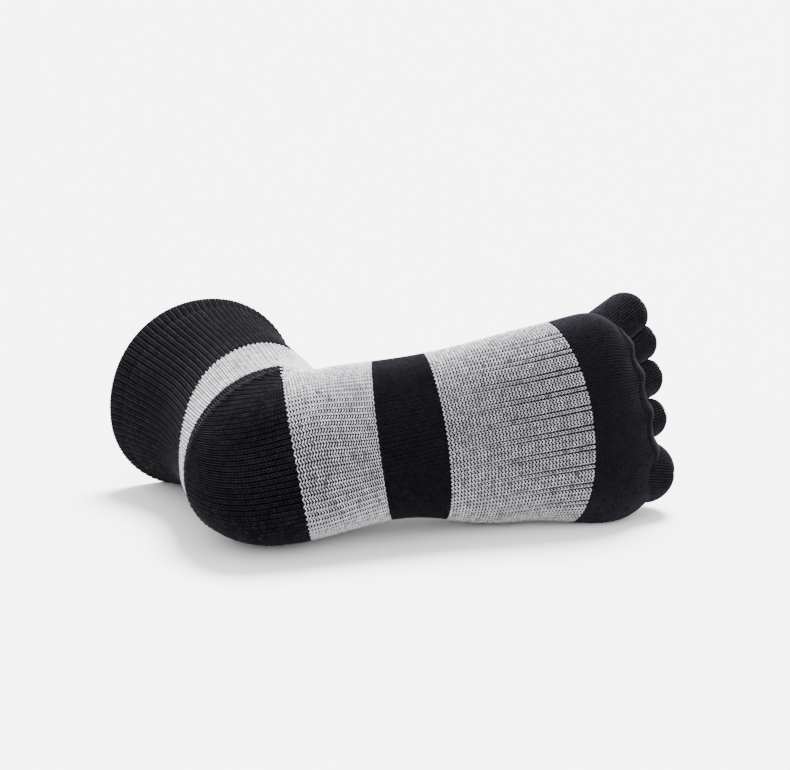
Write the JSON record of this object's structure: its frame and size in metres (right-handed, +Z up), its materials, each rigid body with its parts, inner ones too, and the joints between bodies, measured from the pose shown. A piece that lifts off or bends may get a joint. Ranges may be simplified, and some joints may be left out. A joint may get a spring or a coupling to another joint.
{
  "type": "toe sock",
  "caption": "Knitted ankle sock with a separate pocket for each toe, keeping its worn form and lying on its side.",
  "frame": {"origin": "on the floor, below the middle of the sock's box", "axes": "+X from the heel to the toes, +Y from the sole to the rim of the leg, +Z up from the big-toe side to the little-toe side"},
  "size_m": [0.2476, 0.1416, 0.1051],
  "materials": {
    "black_rib_knit": "matt one by one rib knit in black cotton",
    "grey_heather_knit": "matt stocking stitch in grey heather cotton",
    "black_heel_knit": "matt dense stocking stitch in black cotton",
    "black_band_knit": "matt stocking stitch in black cotton",
    "grey_ribbed_knit": "matt grey heather knit with paired ribs",
    "black_pad_knit": "matt fine knit in black cotton",
    "black_toe_knit": "matt fine rib knit in black cotton"
  },
  "bodies": {
    "root": {"cuff": "black_rib_knit", "ankle_panel": "grey_heather_knit", "heel_pocket": "black_heel_knit", "arch_band": "black_band_knit", "forefoot": "grey_ribbed_knit", "toe_box": "black_pad_knit", "big_toe": "black_toe_knit", "second_toe": "black_toe_knit", "third_toe": "black_toe_knit", "fourth_toe": "black_toe_knit", "little_toe": "black_toe_knit"}
  },
  "joints": []
}
